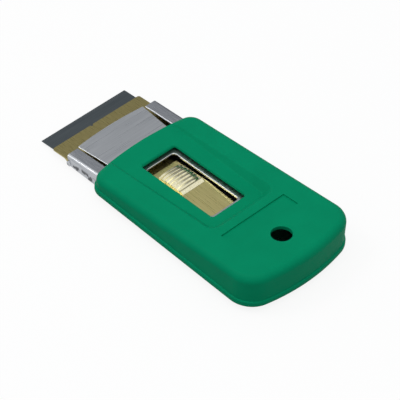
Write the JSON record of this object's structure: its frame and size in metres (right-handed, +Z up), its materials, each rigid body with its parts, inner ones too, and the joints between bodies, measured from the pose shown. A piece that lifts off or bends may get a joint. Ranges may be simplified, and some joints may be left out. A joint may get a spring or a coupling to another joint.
{
  "type": "ceramic hob scraper",
  "caption": "Flat hand scraper for ceramic hobs: a razor blade in a brass slide runs out of a steel sleeve in a moulded handle and is moved by a ridged thumb pad.",
  "frame": {"origin": "middle of the underside, under the middle of the part's bounding box, with the blade out", "axes": "+X from the blade's edge towards the hanging hole, +Y across the handle, +Z up from the flat underside to the thumb pad"},
  "size_m": [0.1074, 0.0502, 0.0153],
  "materials": {
    "handle_green": "satin",
    "sleeve_steel": "brushed",
    "plate_steel": "brushed",
    "carrier_brass": "brushed",
    "pad_brass": "polished",
    "blade_steel": "ground",
    "fixing_steel": "satin"
  },
  "bodies": {
    "handle": {"top_cover": "handle_green", "bottom_cover": "handle_green", "sleeve_channel": "sleeve_steel", "face_plate": "plate_steel", "foot_rivets": "fixing_steel"},
    "slide": {"blade_carrier": "carrier_brass", "thumb_pad": "pad_brass", "razor_blade": "blade_steel", "blade_spine": "fixing_steel", "blade_stop": "fixing_steel", "stop_rivets": "fixing_steel"}
  },
  "joints": [
    {"name": "blade_slide", "type": "slide", "parent": "handle", "child": "slide", "axis": [0.9966, 0, 0.0828], "range_m": [0, 0.0143]}
  ]
}
